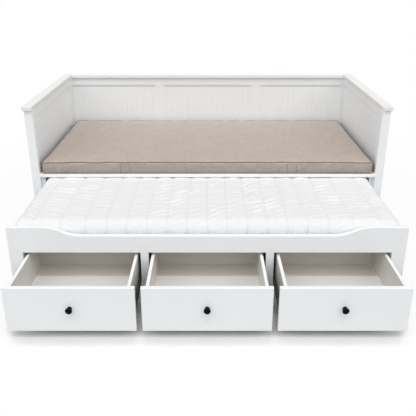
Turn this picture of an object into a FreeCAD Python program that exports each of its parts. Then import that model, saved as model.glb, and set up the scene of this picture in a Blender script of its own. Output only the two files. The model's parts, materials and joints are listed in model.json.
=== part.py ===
import FreeCAD, Part
import math
import os

from FreeCAD import Vector

# Daybed with a pull-out bed on castors and three storage drawers, shown pulled out and open.
# Sizes are in millimetres. The front faces -Y, left is -X and up is +Z.

# Posts, ends and back
inner_length = 1910.0
frame_depth = 1030.0
post_side = 45.0
post_edge_radius = 3.0
rail_thickness = 28.0
rail_setback = 10.0
top_rail_height = 50.0
bottom_rail_low = 92.0
bottom_rail_height = 88.0
rail_edge_radius = 2.0
stile_width = 64.0
stile_spacing = 682.0
panel_thickness = 16.0
panel_setback = 5.0
panel_tongue = 8.0
groove_pitch = 36.0
groove_width = 6.0
groove_depth = 3.0
bead_width = 8.0
bead_depth = 4.0
bead_flat = 1.0
bead_flats = 6

# Cap boards on top of the posts
cap_top = 833.0
cap_thickness = 24.0
cap_outer_overhang = 10.0
cap_inner_overhang = 3.0
cap_nose_radius = 4.0
cap_under_radius = 2.5
cap_corner_radius = 12.0

# Glides under the posts
glide_height = 4.0
glide_radius = 16.0
glide_taper = 2.0

# Fixed deck that carries the upper mattress
deck_top = 442.0
front_rail_height = 18.0
front_rail_depth = 60.0
front_rail_radius = 3.0
slat_seat = 20.0
deck_slat_width = 70.0
deck_slat_thickness = 12.0
deck_slat_count = 15
slat_bevel = 2.0
ledger_depth = 34.0
ledger_height = 20.0

# Guide battens behind the front posts: they guide the chest and stop the pull-out both ways
batten_width = 24.0
guide_clearance = 0.3
batten_depth = 35.0
batten_low = 92.0
stop_gap = 0.5

# Cross bolts through the posts
bolt_radius = 3.0
bolt_reach = 45.0
bolt_head_radius = 8.0
bolt_head_height = 3.0
bolt_head_taper = 1.5

# Upper mattress
upper_end_gap = 13.0
upper_front_gap = 9.0
upper_back_gap = 14.0
upper_side_height = 62.0
upper_crown = 5.0
upper_end_reach = 18.0
upper_end_inset = 18.0
upper_end_drop = 9.0

# Pull-out: face frame, chest and bed base
pull_shown = 629.0
pull_depth = 960.0
face_thickness = 24.0
face_side_gap = 5.0
face_low = 20.0
bottom_rail_top = 84.0
opening_top = 271.0
wave_high = 404.0
wave_low = 359.0
wave_end_flat = 160.0
wave_run = 193.0
wave_edge_radius = 4.0
end_stile_width = 64.5
mid_stile_width = 38.0
chest_side_thickness = 22.0
chest_low = 70.0
chest_top = 283.0
back_board_thickness = 18.0
back_board_gap = 7.0
divider_thickness = 18.0
tray_slat_width = 80.0
tray_slat_thickness = 15.0
tray_slat_count = 9
tray_slat_front_gap = 3.0

# Lower mattress, quilted in channels from front to back, wider ones towards its ends
lower_end_gap = 3.0
lower_front_gap = 1.0
lower_back_gap = 5.0
lower_top_gap = 1.5
lower_channel_rise = 5.0
lower_seam_shares = (0.104, 0.208, 0.312, 0.416, 0.52, 0.629, 0.755, 0.898)
lower_end_reach = 50.0
lower_end_inset = 12.0
lower_end_drop = 40.0

# Shared shape of both mattresses
soft_gap = 0.3
soft_edge_radius = 14.0
soft_side_bulge = 3.0
soft_end_shares = (0.0, 0.2, 0.55, 1.0)
soft_length_shares = (0.15, 0.5, 0.85)
soft_end_crown_share = 0.4

# Drawers
drawer_open = 284.0
buffer_gap = 0.5
front_overlay = 6.0
front_low = 36.0
front_high = 256.0
front_thickness = 20.0
front_edge_radius = 2.5
box_side_gap = 14.0
box_depth = 490.0
box_low = 91.0
box_high = 252.0
box_side_thickness = 15.0
box_back_high = 240.0
box_edge_bevel = 1.0
bottom_thickness = 4.0
bottom_lift = 10.0
bottom_tongue = 5.0

# Drawer runners: a steel channel in the chest and a glide bar on the drawer
runner_length = 450.0
runner_low = 105.0
runner_height = 26.0
runner_wall = 1.2
channel_depth = 12.0
runner_clearance = 0.3
runner_front_gap = 2.0
runner_batten_height = 60.0
glide_nose = 4.0

# Knobs
knob_height = 153.0
knob_foot_radius = 11.0
knob_foot_thickness = 3.0
knob_neck_radius = 7.5
knob_head_radius = 15.5
knob_head_thickness = 12.0
knob_projection = 28.0
knob_neck_blend = 3.0
knob_head_shares = ((0.0, 0.75), (0.25, 0.98), (0.5, 1.0), (0.8, 0.86), (1.0, 0.45))

# Castors under the chest sides
wheel_radius = 25.0
wheel_width = 20.0
wheel_bevel = 3.0
wheel_side_gap = 0.5
axle_radius = 3.0
axle_clearance = 0.15
fork_thickness = 2.5
fork_width = 26.0
fork_plate_width = 36.0
fork_plate_length = 56.0
axle_end = 1.5
castor_inset = 60.0

# Flats round the small turned pieces: wheels and knobs; glides, bolts and axles
fine_sides = 24
small_sides = 12

# One overrun for all cuts, and how near two faces count as level
overrun = 5.0
level = 0.001

# Places that follow from the sizes above
post_in = inner_length / 2
post_out = post_in + post_side
post_top = cap_top - cap_thickness
rear_post_front = frame_depth - post_side
rail_in = post_in + rail_setback
rail_out = rail_in + rail_thickness
back_rail_front = rear_post_front + rail_setback
back_rail_rear = back_rail_front + rail_thickness
top_rail_low = post_top - top_rail_height
panel_low = bottom_rail_low + bottom_rail_height
panel_in = rail_in + panel_setback
back_panel_front = back_rail_front + panel_setback
front_rail_low = deck_top - front_rail_height
deck_slat_low = deck_top - deck_slat_thickness

face_half = post_in - face_side_gap
face_front = -pull_shown
face_back = face_front + face_thickness
chest_rear = face_front + pull_depth
back_board_front = chest_rear - back_board_thickness
wave_flat_half = face_half - wave_end_flat - wave_run
side_in = face_half - end_stile_width
side_out = side_in + chest_side_thickness
drawer_pitch = 2 * (side_in + mid_stile_width / 2) / 3
opening_width = drawer_pitch - mid_stile_width
tray_top = chest_top + tray_slat_thickness
drawer_centres = {"left": -drawer_pitch, "centre": 0.0, "right": drawer_pitch}

upper_half_length = post_in - upper_end_gap
upper_depth = back_rail_front - upper_front_gap - upper_back_gap
lower_half_length = post_in - batten_width - lower_end_gap
lower_depth = pull_depth - face_thickness - lower_front_gap - lower_back_gap
lower_low = tray_top + soft_gap
lower_side_height = front_rail_low - lower_top_gap - lower_channel_rise - lower_low

front_width = opening_width + 2 * front_overlay
box_half = opening_width / 2 - box_side_gap
box_front = face_front - drawer_open - buffer_gap
box_rear = box_front + box_depth
front_face = box_front - front_thickness
knob_nose = front_face - knob_projection
bottom_low = box_low + bottom_lift
channel_half = opening_width / 2
runner_front = face_back + runner_front_gap

fork_high = chest_low - fork_thickness
castor_x = (side_in + side_out) / 2
castor_places = {"front": face_back + castor_inset, "rear": back_board_front - castor_inset}
sides = {"left": -1, "right": 1}

# The origin is on the floor under the middle of the whole shape
middle_y = (knob_nose + frame_depth + cap_outer_overhang) / 2


def block(x, y, z):
    """A box between two values on each axis, in either order."""
    low = Vector(min(x), min(y), min(z))
    return Part.makeBox(max(x) - low.x, max(y) - low.y, max(z) - low.z, low)


def edges_along(shape, axis):
    """The straight edges that run along the named axis."""
    wanted = []
    for edge in shape.Edges:
        straight = edge.Curve.TypeId == "Part::GeomLine"
        if straight and abs(getattr(edge.tangentAt(edge.FirstParameter), axis)) > 1 - 1e-6:
            wanted.append(edge)
    return wanted


def eased(shape, axis, radius):
    """Round the straight edges that run along the named axis."""
    return shape.makeFillet(radius, edges_along(shape, axis))


def bevelled(shape, axis, size):
    """Take the sharp corner off the straight edges that run along the named axis."""
    return shape.makeChamfer(size, edges_along(shape, axis))


def prism(points, way):
    """Push a closed polygon along a vector."""
    return Part.Face(Part.makePolygon(points + points[:1])).extrude(way)


def mirrored(shape):
    """The same piece on the other side of the middle plane."""
    return shape.mirror(Vector(0, 0, 0), Vector(1, 0, 0))


def on_side(shape, side):
    """A piece drawn at +X, placed on the named side."""
    return shape if sides[side] > 0 else mirrored(shape)


def moved(shape, x, y, z):
    """A copy of the shape, shifted."""
    copy = shape.copy()
    copy.translate(Vector(x, y, z))
    return copy


def flats_round(radius, sides, height):
    """The corners of even flats that touch a circle, in a plane across Z."""
    reach = radius / math.cos(math.pi / sides)
    turns = [2 * math.pi * (number + 0.5) / sides for number in range(sides)]
    return [Vector(reach * math.cos(turn), reach * math.sin(turn), height) for turn in turns]


def face_between(*points):
    """A flat face with these corners."""
    return Part.Face(Part.makePolygon(list(points) + [points[0]]))


def turned(profile, sides):
    """A small turned piece along Z, in even flats; its profile lists height and radius."""
    rings = [flats_round(radius, sides, height) for height, radius in profile]
    faces = [face_between(*rings[0]), face_between(*rings[-1])]
    for low, high in zip(rings, rings[1:]):
        for number in range(sides):
            after = (number + 1) % sides
            faces.append(face_between(low[number], low[after], high[after], high[number]))
    return Part.Solid(Part.Shell(faces))


def faced(shape, axis, angle):
    """Turn a piece that stands along Z about a named axis."""
    shape.rotate(Vector(0, 0, 0), Vector(axis == "x", axis == "y", axis == "z"), angle)
    return shape


def together(solids):
    """Separate solids that share one node."""
    return Part.makeCompound(solids)


def grooved_board(length, height, both_faces):
    """A board in X and Z with a vee groove at each pitch, centred in X, front at y = 0."""
    half = length / 2
    count = int(length / groove_pitch)
    middles = [(number - (count - 1) / 2) * groove_pitch for number in range(count)]
    front = []
    back = []
    for middle in middles:
        for share, depth in ((-1, 0), (0, groove_depth), (1, 0)):
            front.append(Vector(middle + share * groove_width / 2, depth, 0))
            if both_faces:
                back.append(Vector(middle + share * groove_width / 2, panel_thickness - depth, 0))
    points = [Vector(-half, 0, 0)] + front + [Vector(half, 0, 0), Vector(half, panel_thickness, 0)]
    points += back[::-1] + [Vector(-half, panel_thickness, 0)]
    return prism(points, Vector(0, 0, height))


def bead(length):
    """A half-round moulding along X in narrow flats, its back on y = 0 and its foot on z = 0."""
    points = [Vector(0, 0, 0)]
    for number in range(bead_flats + 1):
        turn = math.pi * number / bead_flats
        points.append(Vector(0, -bead_flat - (bead_depth - bead_flat) * math.sin(turn),
                             bead_width * (1 - math.cos(turn)) / 2))
    points.append(Vector(0, 0, bead_width))
    return moved(prism(points, Vector(length, 0, 0)), -length / 2, 0, 0)


def all_beads():
    """Mouldings in the corners between the boards and the rails and posts round them."""
    rise = top_rail_low - bead_width - panel_low
    upright = moved(faced(bead(rise), "y", -90), 0, 0, rise / 2)
    level_bead = faced(bead(rear_post_front - post_side), "z", -90)
    end_upright = faced(upright.copy(), "z", -90)
    high = top_rail_low - bead_width
    right = [moved(level_bead, panel_in, (post_side + rear_post_front) / 2, high),
             moved(end_upright, panel_in, post_side, panel_low),
             moved(end_upright, panel_in, rear_post_front - bead_width, panel_low),
             moved(upright, post_in, back_panel_front, panel_low)]
    back = [moved(bead(end - start), (start + end) / 2, back_panel_front, high)
            for start, end in back_panel_spans()]
    return right + [mirrored(one) for one in right] + back


def bolt(height, y):
    """A cross bolt through a post at +X, its low head against the post's outer face."""
    head = turned([(-bolt_head_height, bolt_head_radius - bolt_head_taper), (0, bolt_head_radius)],
                  small_sides)
    shank = turned([(0, bolt_radius), (post_side + bolt_reach, bolt_radius)], small_sides)
    return moved(faced(head.fuse(shank), "y", -90), post_out, y, height)


def bolt_seats():
    """Height and depth of each cross bolt at +X."""
    front_y = (front_rail_depth - slat_seat) / 2
    rear_y = (back_rail_front + back_rail_rear) / 2
    return {"front": [(deck_top - front_rail_height / 2, front_y)],
            "rear": [(post_top - top_rail_height / 2, rear_y),
                     (bottom_rail_low + bottom_rail_height / 2, rear_y)]}


def all_bolts():
    """The bolts of both ends."""
    right = [bolt(height, y) for seats in bolt_seats().values() for height, y in seats]
    return right + [mirrored(one) for one in right]


def drilled(shape):
    """Open a piece for the cross bolts that pass through it."""
    for seats in bolt_seats().values():
        for height, y in seats:
            for side in sides:
                shape = shape.cut(on_side(bolt(height, y), side))
    return shape


def end_panel():
    """The grooved board of the end at +X, its tongues in the posts and rails."""
    length = rear_post_front - post_side + 2 * panel_tongue
    height = top_rail_low - panel_low + 2 * panel_tongue
    board = grooved_board(length, height, True)
    board.rotate(Vector(0, 0, 0), Vector(0, 0, 1), -90)
    middle = (post_side + rear_post_front) / 2
    return moved(board, panel_in, middle, panel_low - panel_tongue)


def back_panel_spans():
    """Left and right edge of each visible back board."""
    inner = stile_spacing / 2 - stile_width / 2
    outer = stile_spacing / 2 + stile_width / 2
    return [(-post_in, -outer), (-inner, inner), (outer, post_in)]


def back_panel_boards():
    """Three grooved boards with their tongues in the posts, stiles and rails."""
    height = top_rail_low - panel_low + 2 * panel_tongue
    boards = []
    for left, right in back_panel_spans():
        board = grooved_board(right - left + 2 * panel_tongue, height, False)
        boards.append(moved(board, (left + right) / 2, back_panel_front, panel_low - panel_tongue))
    return boards


def tongue_slots():
    """The room that the boards' tongues take in posts, rails and stiles."""
    z = (panel_low - panel_tongue, top_rail_low + panel_tongue)
    end_slot = block((panel_in, panel_in + panel_thickness),
                     (post_side - panel_tongue, rear_post_front + panel_tongue), z)
    slots = [end_slot, mirrored(end_slot)]
    for left, right in back_panel_spans():
        slots.append(block((left - panel_tongue, right + panel_tongue),
                           (back_panel_front, back_panel_front + panel_thickness), z))
    return together(slots)


def cap_ring():
    """The whole cap, open at the front, with rounded noses."""
    outer = block((-post_out - cap_outer_overhang, post_out + cap_outer_overhang),
                  (-cap_outer_overhang, frame_depth + cap_outer_overhang), (post_top, cap_top))
    inner = block((-post_in + cap_inner_overhang, post_in - cap_inner_overhang),
                  (-cap_outer_overhang - overrun, rear_post_front - cap_inner_overhang),
                  (post_top - overrun, cap_top + overrun))
    ring = outer.cut(inner)
    corners = [edge for edge in ring.Edges if abs(edge.tangentAt(edge.FirstParameter).z) > 0.9
               and abs(edge.CenterOfMass.x) > post_out]
    ring = ring.makeFillet(cap_corner_radius, corners)
    top = [edge for edge in ring.Edges if abs(edge.BoundBox.ZMin - cap_top) < level]
    ring = ring.makeFillet(cap_nose_radius, top)
    under = [edge for edge in ring.Edges if abs(edge.BoundBox.ZMax - post_top) < level]
    return ring.makeFillet(cap_under_radius, under)


def cap_boards():
    """The cap cut into two side boards and a back board by mitres at the rear corners."""
    ring = cap_ring()
    rear = frame_depth + cap_outer_overhang
    reach = post_side + cap_outer_overhang + cap_inner_overhang
    corner_x = post_out + cap_outer_overhang
    z = (post_top - overrun, cap_top + overrun)
    points = [Vector(-corner_x - overrun, rear + overrun, z[0]),
              Vector(-corner_x + reach, rear - reach, z[0]),
              Vector(corner_x - reach, rear - reach, z[0]),
              Vector(corner_x + overrun, rear + overrun, z[0])]
    wedge = prism(points, Vector(0, 0, z[1] - z[0]))
    rest = ring.cut(wedge)
    boards = {"cap_back": ring.common(wedge)}
    for solid in rest.Solids:
        boards["cap_left" if solid.CenterOfMass.x < 0 else "cap_right"] = solid
    return boards


def make_frame():
    """Posts, rails, boards, mouldings and caps that stand on the floor."""
    slots = tongue_slots()
    nodes = {}
    for place, y in (("front", (0, post_side)), ("rear", (rear_post_front, frame_depth))):
        post = block((post_in, post_out), y, (glide_height, post_top))
        post = eased(post, "z", post_edge_radius)
        for side in sides:
            nodes[f"post_{place}_{side}"] = drilled(on_side(post, side).cut(slots))
    foot_middle = post_in + post_side / 2
    glides = []
    for y in (post_side / 2, frame_depth - post_side / 2):
        for side in sides.values():
            glide = turned([(0, glide_radius - glide_taper), (glide_height, glide_radius)], small_sides)
            glides.append(moved(glide, side * foot_middle, y, 0))
    nodes["foot_glides"] = together(glides)

    end_y = (post_side, rear_post_front)
    top_z = (top_rail_low, post_top)
    bottom_z = (bottom_rail_low, bottom_rail_low + bottom_rail_height)
    top_rail = block((rail_in, rail_out), end_y, top_z).cut(slots)
    bottom_rail = block((rail_in, rail_out), end_y, bottom_z)
    bottom_rail = eased(bottom_rail, "y", rail_edge_radius).cut(slots)
    panel = end_panel()
    for side in sides:
        nodes[f"end_top_rail_{side}"] = on_side(top_rail, side)
        nodes[f"end_bottom_rail_{side}"] = on_side(bottom_rail, side)
        nodes[f"end_panel_{side}"] = on_side(panel, side)

    back_x = (-post_in, post_in)
    back_y = (back_rail_front, back_rail_rear)
    nodes["back_top_rail"] = drilled(block(back_x, back_y, top_z).cut(slots))
    lower = eased(block(back_x, back_y, bottom_z), "x", rail_edge_radius)
    nodes["back_bottom_rail"] = drilled(lower.cut(slots))
    stiles = []
    for side in sides.values():
        middle = side * stile_spacing / 2
        stiles.append(block((middle - stile_width / 2, middle + stile_width / 2), back_y,
                            (panel_low, top_rail_low)).cut(slots))
    nodes["back_stiles"] = together(stiles)
    nodes["back_panels"] = together(back_panel_boards())

    nodes["bead_mouldings"] = together(all_beads())
    nodes.update(cap_boards())
    nodes["frame_bolts"] = together(all_bolts())
    return nodes


def guide_batten():
    """The batten at +X: wide beside the chest, narrower above it where the mattress passes."""
    guide = side_out + guide_clearance
    narrow = post_in - batten_width
    outline = [Vector(post_in, 0, batten_low), Vector(guide, 0, batten_low),
               Vector(guide, 0, chest_top), Vector(narrow, 0, chest_top),
               Vector(narrow, 0, front_rail_low), Vector(post_in, 0, front_rail_low)]
    batten = prism(outline, Vector(0, batten_depth, 0))
    return moved(batten, 0, face_thickness + stop_gap, 0)


def make_deck():
    """Front rail, rear ledger, slats and guide battens between the ends."""
    nodes = {}
    rail = block((-post_in, post_in), (0, front_rail_depth), (front_rail_low, deck_top))
    rail = eased(rail, "x", front_rail_radius)
    seat_front = front_rail_depth - slat_seat
    seat = block((-post_in - overrun, post_in + overrun), (seat_front, front_rail_depth + overrun),
                 (deck_slat_low, deck_top + overrun))
    nodes["front_rail"] = drilled(rail.cut(seat))
    ledger_y = (back_rail_front - ledger_depth, back_rail_front)
    ledger = block((-post_in, post_in), ledger_y, (deck_slat_low - ledger_height, deck_slat_low))
    nodes["rear_ledger"] = ledger
    slat = block((-deck_slat_width / 2, deck_slat_width / 2), (seat_front, back_rail_front),
                 (deck_slat_low, deck_top))
    slat = bevelled(slat, "y", slat_bevel)
    pitch = inner_length / deck_slat_count
    nodes["deck_slats"] = together([moved(slat, (number + 0.5) * pitch - post_in, 0, 0)
                                    for number in range(deck_slat_count)])
    nodes["guide_battens"] = together([guide_batten(), mirrored(guide_batten())])
    return nodes


def stations(length, reach):
    """Places along a mattress, each with its share of the end's rounding and of the crown."""
    half = length / 2
    ends = [(share * reach, 1 - math.sqrt(1 - (1 - share) ** 2)) for share in soft_end_shares]
    near = [(-half + place, turn) for place, turn in ends]
    middle = [(-half + share * length, 0) for share in soft_length_shares]
    far = [(half - place, turn) for place, turn in ends[::-1]]
    return [(place, turn, 1 - (place / half) ** 2) for place, turn in near + middle + far]


def soft_section(half, low, high, seams, rise):
    """A closed section in X and Z: flat base, bulged sides and an arch between each two seams."""
    radius = soft_edge_radius
    slant = radius * (1 - math.sqrt(0.5))
    bulge = half + soft_side_bulge
    top_from = half - radius
    edge = []
    for side in (-1, 1):
        corner = [Vector(side * top_from, 0, high), Vector(side * (half - slant), 0, high - slant),
                  Vector(side * half, 0, high - radius)]
        flank = [corner[2], Vector(side * bulge, 0, (high + low) / 2),
                 Vector(side * half, 0, low + radius)]
        foot = [flank[2], Vector(side * (half - slant), 0, low + slant),
                Vector(side * top_from, 0, low)]
        edge.append([corner, flank, foot])
    places = [-top_from] + seams + [top_from]
    curves = []
    for start, end in zip(places, places[1:]):
        curves.append(Part.Arc(Vector(start, 0, high), Vector((start + end) / 2, 0, high + rise),
                               Vector(end, 0, high)))
    curves += [Part.Arc(*points) for points in edge[1]]
    curves.append(Part.LineSegment(edge[1][2][2], edge[0][2][2]))
    curves += [Part.Arc(*points[::-1]) for points in edge[0][::-1]]
    return Part.Wire([curve.toShape() for curve in curves])


def lofted_mattress(width, run, height, seams, rise, ends):
    """A mattress on z = 0 whose sections stand along Y, with rounded and lowered ends."""
    reach, inset, drop = ends
    wires = []
    for place, turn, share in stations(run, reach):
        lift = rise * (soft_end_crown_share + (1 - soft_end_crown_share) * share)
        half = width / 2 - soft_side_bulge - turn * inset
        wire = soft_section(half, turn * inset / 2, height - turn * drop, seams, lift)
        wire.translate(Vector(0, place, 0))
        wires.append(wire)
    return Part.makeLoft(wires, True, True)


def make_upper_mattress():
    """The covered mattress on the fixed deck, crowned from end to end and front to back."""
    ends = (upper_end_reach, upper_end_inset, upper_end_drop)
    solid = lofted_mattress(upper_depth, 2 * upper_half_length, upper_side_height, [],
                            upper_crown, ends)
    middle = upper_front_gap + upper_depth / 2
    return {"upper_mattress": moved(faced(solid, "z", 90), 0, middle, deck_top + soft_gap)}


def make_lower_mattress():
    """The quilted mattress on the pull-out, with its channels running front to back."""
    ends = (lower_end_reach, lower_end_inset, lower_end_drop)
    right = [share * lower_half_length for share in lower_seam_shares]
    seams = [-place for place in right[::-1]] + [0] + right
    solid = lofted_mattress(2 * lower_half_length, lower_depth, lower_side_height, seams,
                            lower_channel_rise, ends)
    middle = face_back + lower_front_gap + lower_depth / 2
    return {"lower_mattress": moved(solid, 0, middle, lower_low)}


def wave_outline():
    """Top rail of the face frame: flat in the middle, rising by an S of two arcs to each end."""
    drop = wave_high - wave_low
    radius = (wave_run ** 2 + drop ** 2) / (4 * drop)
    angle = math.asin(wave_run / 2 / radius)
    sway_x = radius * math.sin(angle / 2)
    sway_z = radius * (1 - math.cos(angle / 2))
    middle_x = wave_flat_half + wave_run / 2
    middle_z = (wave_high + wave_low) / 2
    end_x = wave_flat_half + wave_run

    def half(side):
        return [Vector(side * wave_flat_half, 0, wave_low),
                Vector(side * (wave_flat_half + sway_x), 0, wave_low + sway_z),
                Vector(side * middle_x, 0, middle_z),
                Vector(side * (end_x - sway_x), 0, wave_high - sway_z),
                Vector(side * end_x, 0, wave_high)]

    left = half(-1)
    right = half(1)
    corners = {side: (Vector(side * face_half, 0, wave_high), Vector(side * face_half, 0, opening_top))
               for side in (-1, 1)}
    curves = [Part.LineSegment(corners[-1][1], corners[-1][0]),
              Part.LineSegment(corners[-1][0], left[4]),
              Part.Arc(left[4], left[3], left[2]),
              Part.Arc(left[2], left[1], left[0]),
              Part.LineSegment(left[0], right[0]),
              Part.Arc(right[0], right[1], right[2]),
              Part.Arc(right[2], right[3], right[4]),
              Part.LineSegment(right[4], corners[1][0]),
              Part.LineSegment(corners[1][0], corners[1][1]),
              Part.LineSegment(corners[1][1], corners[-1][1])]
    return Part.Wire([curve.toShape() for curve in curves])


def wave_rail():
    """The wave-topped rail with its upper edges rounded."""
    board = Part.Face(wave_outline()).extrude(Vector(0, face_thickness, 0))
    board.translate(Vector(0, face_front, 0))
    top = []
    for edge in board.Edges:
        flat = abs(edge.BoundBox.YMax - edge.BoundBox.YMin) < level
        if flat and edge.BoundBox.ZMin > wave_low - level and edge.CenterOfMass.z > opening_top:
            top.append(edge)
    return board.makeFillet(wave_edge_radius, top)


def make_face():
    """The front of the pull-out: wave rail, bottom rail and stiles round three openings."""
    y = (face_front, face_back)
    z = (bottom_rail_top, opening_top)
    end_stile = block((side_in, face_half), y, (face_low, opening_top))
    mid_stile = block((drawer_pitch / 2 - mid_stile_width / 2,
                       drawer_pitch / 2 + mid_stile_width / 2), y, z)
    return {"wave_rail": wave_rail(),
            "end_stiles": together([end_stile, mirrored(end_stile)]),
            "mid_stiles": together([mid_stile, mirrored(mid_stile)]),
            "bottom_rail": block((-side_in, side_in), y, (face_low, bottom_rail_top))}


def channel(middle_z):
    """A steel channel at +X, open towards the drawer, along Y from y = 0."""
    outer = block((channel_half - channel_depth, channel_half), (0, runner_length),
                  (middle_z - runner_height / 2, middle_z + runner_height / 2))
    inner = block((channel_half - channel_depth - overrun, channel_half - runner_wall),
                  (-overrun, runner_length + overrun),
                  (middle_z - runner_height / 2 + runner_wall,
                   middle_z + runner_height / 2 - runner_wall))
    return outer.cut(inner)


def make_chest():
    """Sides, dividers, back board, runner battens, channels and bed slats."""
    y = (face_back, back_board_front)
    z = (chest_low, chest_top)
    nodes = {}
    board = block((side_in, side_out), y, z)
    for side in sides:
        nodes[f"chest_side_{side}"] = on_side(board, side)
    divider = block((drawer_pitch / 2 - divider_thickness / 2,
                     drawer_pitch / 2 + divider_thickness / 2), y, z)
    nodes["chest_dividers"] = together([divider, mirrored(divider)])
    back_half = post_in - back_board_gap
    nodes["chest_back"] = block((-back_half, back_half), (back_board_front, chest_rear), z)

    middle_z = runner_low + runner_height / 2
    battens = []
    for edge_x in (drawer_pitch / 2 - mid_stile_width / 2, drawer_pitch / 2 + divider_thickness / 2):
        width = (mid_stile_width - divider_thickness) / 2
        batten = block((edge_x, edge_x + width), (face_back, runner_front + runner_length),
                       (middle_z - runner_batten_height / 2, middle_z + runner_batten_height / 2))
        battens += [batten, mirrored(batten)]
    nodes["runner_battens"] = together(battens)
    right = channel(middle_z)
    channels = []
    for centre in drawer_centres.values():
        for piece in (right, mirrored(right)):
            channels.append(moved(piece, centre, runner_front, 0))
    nodes["cabinet_runners"] = together(channels)

    slat = block((-side_out, side_out), (0, tray_slat_width), (chest_top, tray_top))
    slat = bevelled(slat, "x", slat_bevel)
    first = face_back + tray_slat_front_gap
    pitch = (chest_rear - tray_slat_width - first) / (tray_slat_count - 1)
    nodes["tray_slats"] = together([moved(slat, 0, first + number * pitch, 0)
                                    for number in range(tray_slat_count)])
    return nodes


def wheel():
    """A castor wheel about the X axis: bevelled tread and a round bore for its axle."""
    half = wheel_width / 2
    shoulder = wheel_radius - wheel_bevel
    solid = turned([(-half, shoulder), (wheel_bevel - half, wheel_radius),
                    (half - wheel_bevel, wheel_radius), (half, shoulder)], fine_sides)
    bore = Part.makeCylinder(axle_radius + axle_clearance, wheel_width + 2 * overrun,
                             Vector(0, 0, -half - overrun))
    return faced(solid.cut(bore), "y", 90)


def fork():
    """A castor fork bent from plate, and its axle, about the X axis of the wheel."""
    high = fork_high - wheel_radius
    inner = wheel_width / 2 + wheel_side_gap
    outer = inner + fork_thickness
    pieces = block((-fork_plate_width / 2, fork_plate_width / 2),
                   (-fork_plate_length / 2, fork_plate_length / 2), (high, high + fork_thickness))
    foot = axle_radius + fork_thickness
    for side in (-1, 1):
        outline = [Vector(side * inner, -fork_width / 2, high), Vector(side * inner, -foot, -foot),
                   Vector(side * inner, foot, -foot), Vector(side * inner, fork_width / 2, high)]
        pieces = pieces.fuse(prism(outline, Vector(side * fork_thickness, 0, 0)))
    reach = outer + axle_end
    pin = faced(turned([(-reach, axle_radius), (reach, axle_radius)], small_sides), "y", 90)
    return [pieces.cut(pin).removeSplitter(), pin]


def make_castors():
    """Four fixed castors under the chest sides; each wheel is a node of its own."""
    nodes = {}
    brackets = []
    for place, y in castor_places.items():
        for side, sign in sides.items():
            x = sign * castor_x
            nodes[f"castor_wheel_{place}_{side}"] = moved(wheel(), x, y, wheel_radius)
            brackets += [moved(piece, x, y, wheel_radius) for piece in fork()]
    nodes["castor_brackets"] = together(brackets)
    return nodes


def knob():
    """A turned mushroom knob along Y, its foot on y = 0 and its domed head towards -Y."""
    head_from = knob_projection - knob_head_thickness
    profile = [(0, knob_foot_radius), (knob_foot_thickness, knob_foot_radius),
               (knob_foot_thickness + knob_neck_blend, knob_neck_radius)]
    for reach_share, radius_share in knob_head_shares:
        profile.append((head_from + knob_head_thickness * reach_share, knob_head_radius * radius_share))
    return faced(turned(profile, fine_sides), "x", 90)


def drawer_bottom_slot():
    """The room that the drawer bottom takes in the sides and the front."""
    reach = box_half - box_side_thickness + bottom_tongue
    return block((-reach, reach), (box_front, box_rear), (bottom_low, bottom_low + bottom_thickness))


def make_drawer(name, centre):
    """One drawer: front, sides, back, bottom, knob and glide bars."""
    slot = drawer_bottom_slot()
    front = block((-front_width / 2, front_width / 2), (front_face, box_front),
                  (front_low, front_high))
    front = front.makeFillet(front_edge_radius, [edge for edge in front.Edges
                                                 if edge.BoundBox.YMax < box_front - level])
    side = block((box_half - box_side_thickness, box_half), (box_front, box_rear),
                 (box_low, box_high))
    side = bevelled(side, "y", box_edge_bevel).cut(slot)
    inner = box_half - box_side_thickness
    back = block((-inner, inner), (box_rear - box_side_thickness, box_rear),
                 (bottom_low + bottom_thickness, box_back_high))
    bar_low = runner_low + runner_wall + runner_clearance
    bar_high = runner_low + runner_height - runner_wall - runner_clearance
    bar_out = channel_half - runner_wall - runner_clearance
    bar = block((box_half, bar_out), (box_rear - runner_length, box_rear), (bar_low, bar_high))
    nose = [edge for edge in bar.Edges if edge.CenterOfMass.y > box_rear - level
            and edge.BoundBox.XLength > level]
    bar = bar.makeChamfer(glide_nose, nose)
    handle = moved(knob(), 0, front_face, knob_height)
    pieces = {"front": front, "sides": together([side, mirrored(side)]), "back": back,
              "bottom": slot, "knob": handle, "glides": together([bar, mirrored(bar)])}
    return {f"drawer_{name}_{piece}": moved(shape, centre, 0, 0) for piece, shape in pieces.items()}


def main():
    """Build every piece and write one STEP file for each node."""
    nodes = {}
    nodes.update(make_frame())
    nodes.update(make_deck())
    nodes.update(make_upper_mattress())
    nodes.update(make_face())
    nodes.update(make_chest())
    nodes.update(make_castors())
    nodes.update(make_lower_mattress())
    for name, centre in drawer_centres.items():
        nodes.update(make_drawer(name, centre))
    os.makedirs("parts", exist_ok=True)
    for name, shape in nodes.items():
        shape.translate(Vector(0, -middle_y, 0))
        if not shape.isValid() or not shape.Solids:
            raise ValueError(f"{name} is not a sound solid")
        shape.exportStep(f"parts/{name}.step")
    print(len(nodes), "nodes, origin", round(middle_y, 3), "behind the front posts' face")


main()
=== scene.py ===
"""Daybed with a pull-out bed and three storage drawers: mattresses, fittings, finishes and stage."""
import json
import math

import bpy
import numpy as np
from bpy.props import FloatProperty, FloatVectorProperty, PointerProperty
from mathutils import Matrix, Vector
from mathutils.bvhtree import BVHTree


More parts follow.
